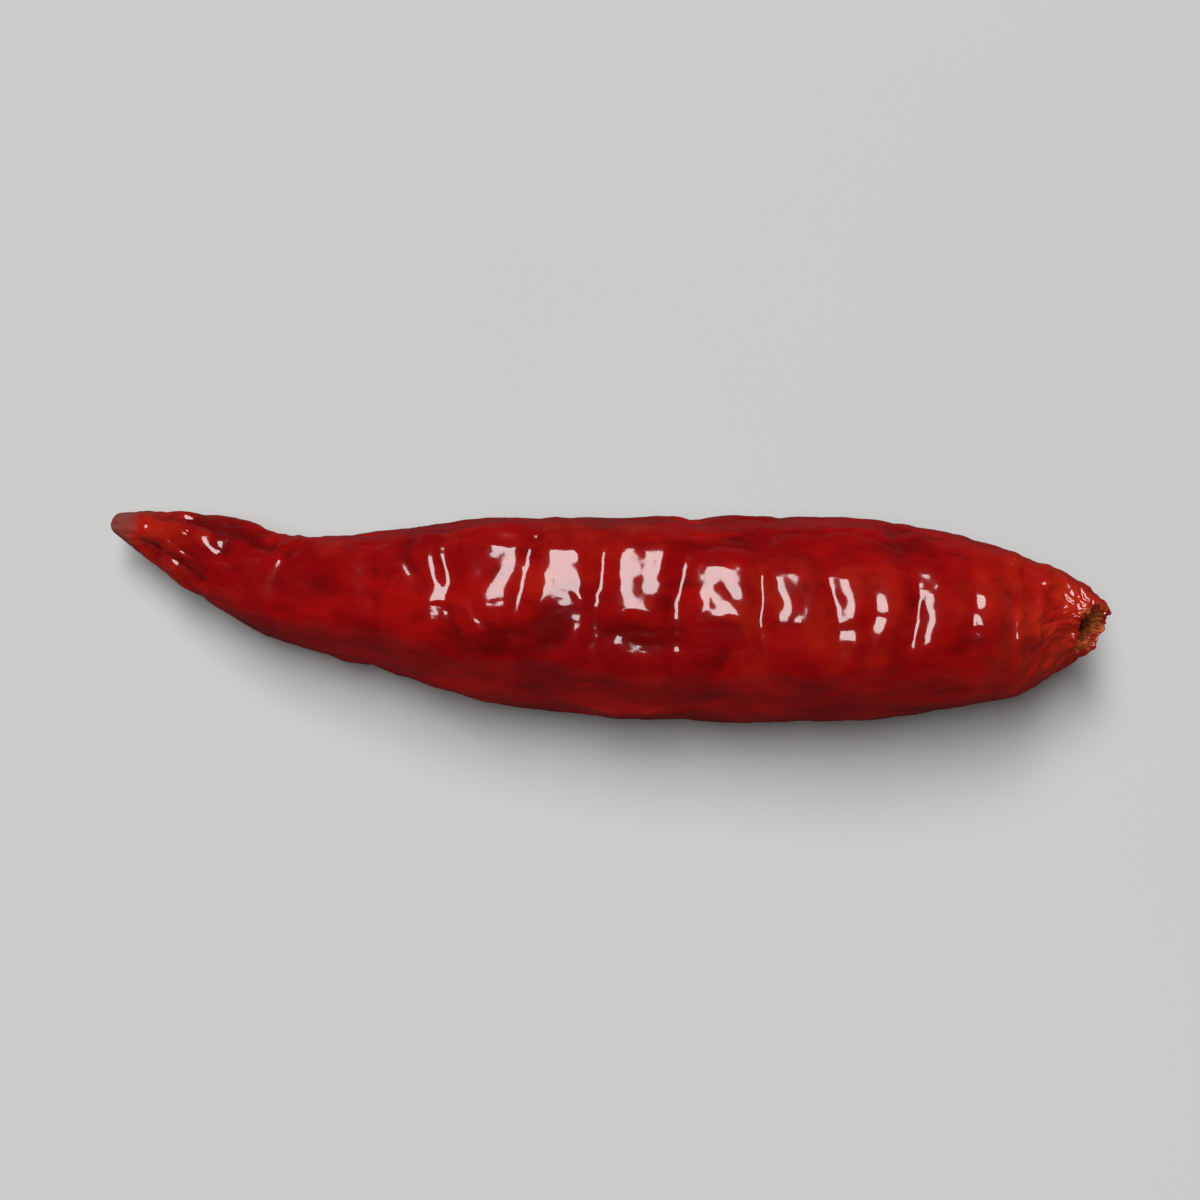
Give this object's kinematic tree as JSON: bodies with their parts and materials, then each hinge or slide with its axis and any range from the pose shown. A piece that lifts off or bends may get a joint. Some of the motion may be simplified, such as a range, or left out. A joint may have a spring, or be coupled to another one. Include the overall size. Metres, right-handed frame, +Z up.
{
  "type": "dried chilli pepper",
  "caption": "Whole dried chilli pod with its stalk off, lying on its side: a curled blunt tip, crosswise ribs and a puckered stem end with a small pit.",
  "frame": {"origin": "middle of the pod's bounding box, on the surface that the pod lies on", "axes": "+X from the tip to the stem end, +Y to the side that the tip curls to, +Z up"},
  "size_m": [0.0722, 0.0176, 0.0135],
  "materials": {
    "dried_skin": "glossy wrinkled deep red dried skin, orange tan at the stalk scar and grey brown at the very tip"
  },
  "bodies": {
    "root": {"chilli_pod": "dried_skin"}
  },
  "joints": []
}
